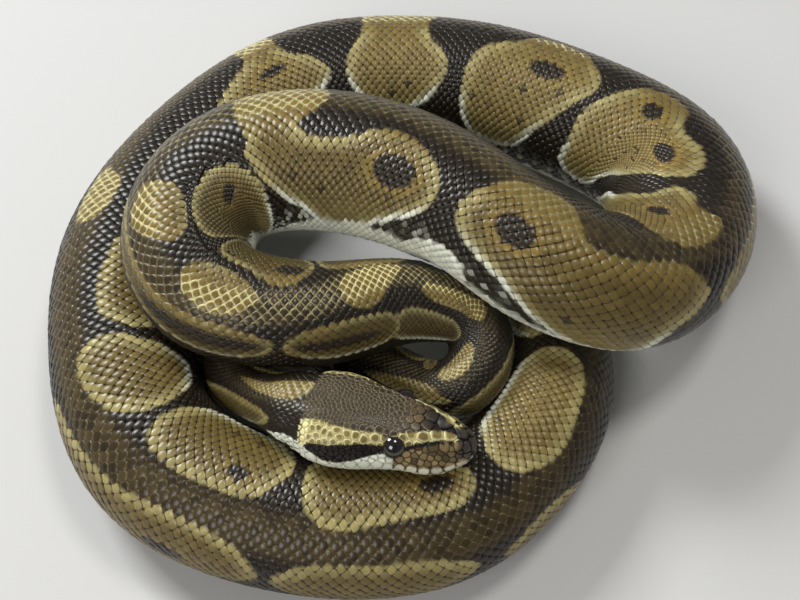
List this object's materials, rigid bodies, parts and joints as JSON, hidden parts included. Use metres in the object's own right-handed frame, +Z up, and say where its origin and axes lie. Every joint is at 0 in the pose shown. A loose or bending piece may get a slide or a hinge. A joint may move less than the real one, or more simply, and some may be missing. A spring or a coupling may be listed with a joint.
{
  "type": "coiled ball python",
  "caption": "Life-size museum-style model of a ball python at rest in a coil, head laid on the near side of the coil, body in thick overlapping loops.",
  "frame": {"origin": "on the floor under the middle of the coil's bounding box", "axes": "+Z up; +X to the animal's snout side, so the head points along +X; +Y away from the head's side of the coil"},
  "size_m": [0.2131, 0.1999, 0.0683],
  "materials": {
    "scaled_skin": "smooth glossy scales, dark chocolate bands round olive-tan blotches with pale yellow edges, white belly",
    "eye": "wet, near-black spectacle with a narrow upright pupil"
  },
  "bodies": {
    "root": {"head": "scaled_skin", "lower_jaw": "scaled_skin", "eye_left": "eye", "eye_right": "eye", "neck_1": "scaled_skin", "neck_2": "scaled_skin", "trunk_01": "scaled_skin", "trunk_02": "scaled_skin", "trunk_03": "scaled_skin", "trunk_04": "scaled_skin", "trunk_05": "scaled_skin", "trunk_06": "scaled_skin", "trunk_07": "scaled_skin", "trunk_08": "scaled_skin", "trunk_09": "scaled_skin", "trunk_10": "scaled_skin", "trunk_11": "scaled_skin", "trunk_12": "scaled_skin", "trunk_13": "scaled_skin", "trunk_14": "scaled_skin", "trunk_15": "scaled_skin", "tail": "scaled_skin"}
  },
  "joints": []
}
